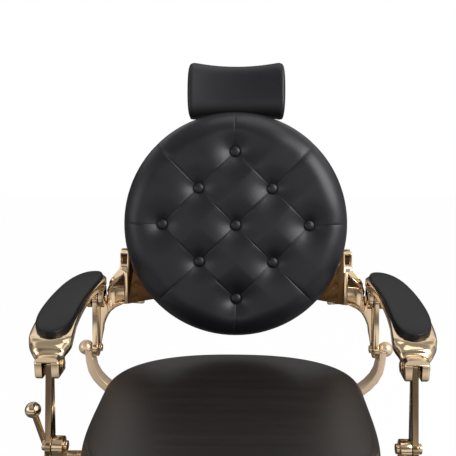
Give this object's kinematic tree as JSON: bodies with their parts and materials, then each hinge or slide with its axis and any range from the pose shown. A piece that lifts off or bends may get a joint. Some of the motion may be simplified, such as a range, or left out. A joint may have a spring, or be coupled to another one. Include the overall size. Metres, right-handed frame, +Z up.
{
  "type": "barber chair",
  "caption": "Reclining barber chair with a round tufted back, swinging padded arms, headrest, linked leg rest and a round hydraulic base.",
  "frame": {"origin": "centre of the base on the floor", "axes": "+Z up, the sitter faces -Y, the sitter's left is +X"},
  "size_m": [0.7682, 0.9973, 1.1864],
  "materials": {
    "black_leather": "smooth semi-gloss, fine grain",
    "seat_leather": "smooth semi-gloss, fine grain",
    "gold_plate": "polished champagne gold plating on cast metal",
    "bright_steel": "polished",
    "frame_steel": "satin black powder coat",
    "cast_base": "painted casting",
    "wood_board": "raw plywood",
    "black_rubber": "moulded rubber",
    "black_plastic": "fine moulded texture"
  },
  "bodies": {
    "base": {"floor_ring": "black_rubber", "base_plate": "cast_base", "base_rim": "gold_plate", "base_cover": "gold_plate", "base_collar": "gold_plate", "pump_housing": "gold_plate", "pump_pin": "bright_steel"},
    "pedal": {"pump_pedal": "gold_plate", "pedal_pad": "black_rubber"},
    "ram": {"lift_ram": "bright_steel"},
    "seat": {"seat_hub": "frame_steel", "hub_bolts": "bright_steel", "column_skirt": "gold_plate", "seat_frame": "frame_steel", "back_support_left": "gold_plate", "back_support_right": "gold_plate", "post_bracket_left": "gold_plate", "post_bracket_right": "gold_plate", "back_pins": "bright_steel", "back_cap_nuts": "gold_plate", "post_pins": "gold_plate", "seat_board": "wood_board", "seat_cushion": "seat_leather", "lock_cylinder": "frame_steel", "lever_bracket": "frame_steel"},
    "lever": {"recline_lever": "gold_plate", "lever_knob": "gold_plate"},
    "lock": {"lock_rod": "bright_steel"},
    "back": {"yoke_left": "gold_plate", "yoke_right": "gold_plate", "yoke_bolts": "gold_plate", "back_plate": "gold_plate", "back_board": "black_leather", "back_cushion": "black_leather", "back_buttons": "black_leather", "headrest_guide": "gold_plate"},
    "head_post": {"headrest_post": "gold_plate"},
    "head_knob": {"headrest_knob": "black_plastic"},
    "headrest": {"headrest_board": "black_leather", "headrest_cushion": "black_leather", "headrest_pin": "bright_steel"},
    "arm_left": {"arm_rail_left": "gold_plate", "arm_pad_left": "seat_leather", "arm_pins_left": "gold_plate"},
    "arm_right": {"arm_rail_right": "gold_plate", "arm_pad_right": "seat_leather", "arm_pins_right": "gold_plate"},
    "post_left": {"front_post_left": "gold_plate"},
    "post_right": {"front_post_right": "gold_plate"},
    "rod_left": {"tie_rod_left": "gold_plate"},
    "rod_right": {"tie_rod_right": "gold_plate"},
    "legrest": {"legrest_frame": "gold_plate", "calf_board": "wood_board", "calf_pad": "seat_leather", "foot_plate": "gold_plate", "foot_tread": "black_rubber"}
  },
  "joints": [
    {"name": "seat_lift", "type": "slide", "parent": "base", "child": "ram", "axis": [0, 0, 1], "range_m": [0, 0.15]},
    {"name": "seat_swivel", "type": "hinge", "parent": "ram", "child": "seat", "pos_m": [0, 0, 0.36], "axis": [0, 0, 1], "continuous": true},
    {"name": "back_recline", "type": "hinge", "parent": "seat", "child": "back", "pos_m": [0, 0.261, 0.545], "axis": [-1, 0, 0], "range_deg": [0, 45]},
    {"name": "arm_pivot_left", "type": "hinge", "parent": "back", "child": "arm_left", "pos_m": [0.32, 0.279, 0.659], "axis": [1, 0, 0], "range_deg": [0, 44.12]},
    {"name": "post_pivot_left", "type": "hinge", "parent": "seat", "child": "post_left", "pos_m": [0.32, -0.11, 0.51], "axis": [-1, 0, 0], "range_deg": [0, 34.6]},
    {"name": "rod_pivot_left", "type": "hinge", "parent": "post_left", "child": "rod_left", "pos_m": [0.32, -0.08, 0.44], "axis": [1, 0, 0], "range_deg": [0, 34.6]},
    {"name": "arm_pivot_right", "type": "hinge", "parent": "back", "child": "arm_right", "pos_m": [-0.32, 0.279, 0.659], "axis": [1, 0, 0], "range_deg": [0, 44.12]},
    {"name": "post_pivot_right", "type": "hinge", "parent": "seat", "child": "post_right", "pos_m": [-0.32, -0.11, 0.51], "axis": [-1, 0, 0], "range_deg": [0, 34.6]},
    {"name": "rod_pivot_right", "type": "hinge", "parent": "post_right", "child": "rod_right", "pos_m": [-0.32, -0.08, 0.44], "axis": [1, 0, 0], "range_deg": [0, 34.6]},
    {"name": "legrest_lift", "type": "hinge", "parent": "seat", "child": "legrest", "pos_m": [0, -0.215, 0.405], "axis": [-1, 0, 0], "range_deg": [0, 34.6]},
    {"name": "lock_slide", "type": "slide", "parent": "seat", "child": "lock", "axis": [0, -1, 0], "range_m": [0, 0.02994]},
    {"name": "lever_pull", "type": "hinge", "parent": "seat", "child": "lever", "pos_m": [0, 0.04, 0.405], "axis": [-1, 0, 0], "range_deg": [0, 20], "stiffness_Nm_per_rad": 2, "springref_deg": -11.46},
    {"name": "headrest_height", "type": "slide", "parent": "back", "child": "head_post", "axis": [0, 0.1994, 0.9799], "range_m": [0, 0.1]},
    {"name": "headrest_tilt", "type": "hinge", "parent": "head_post", "child": "headrest", "pos_m": [0, 0.4659, 1.1099], "axis": [1, 0, 0], "range_deg": [0, 12]},
    {"name": "headrest_clamp", "type": "hinge", "parent": "back", "child": "head_knob", "pos_m": [0, 0.3801, 0.96407], "axis": [0, 0.9799, -0.1994], "range_deg": [0, 180]},
    {"name": "pump_stroke", "type": "hinge", "parent": "base", "child": "pedal", "pos_m": [0, 0.088, 0.148], "axis": [-1, 0, 0], "range_deg": [0, 14], "stiffness_Nm_per_rad": 16, "springref_deg": -17.19}
  ],
  "couplings": [
    {"joint": "arm_pivot_left", "follows": "back_recline", "ratio": 0.9793},
    {"joint": "post_pivot_left", "follows": "back_recline", "ratio": 0.7677},
    {"joint": "rod_pivot_left", "follows": "back_recline", "ratio": 0.7677},
    {"joint": "arm_pivot_right", "follows": "back_recline", "ratio": 0.9793},
    {"joint": "post_pivot_right", "follows": "back_recline", "ratio": 0.7677},
    {"joint": "rod_pivot_right", "follows": "back_recline", "ratio": 0.7677},
    {"joint": "legrest_lift", "follows": "back_recline", "ratio": 0.7677},
    {"joint": "lock_slide", "follows": "back_recline", "m_per_rad": 0.037867}
  ]
}
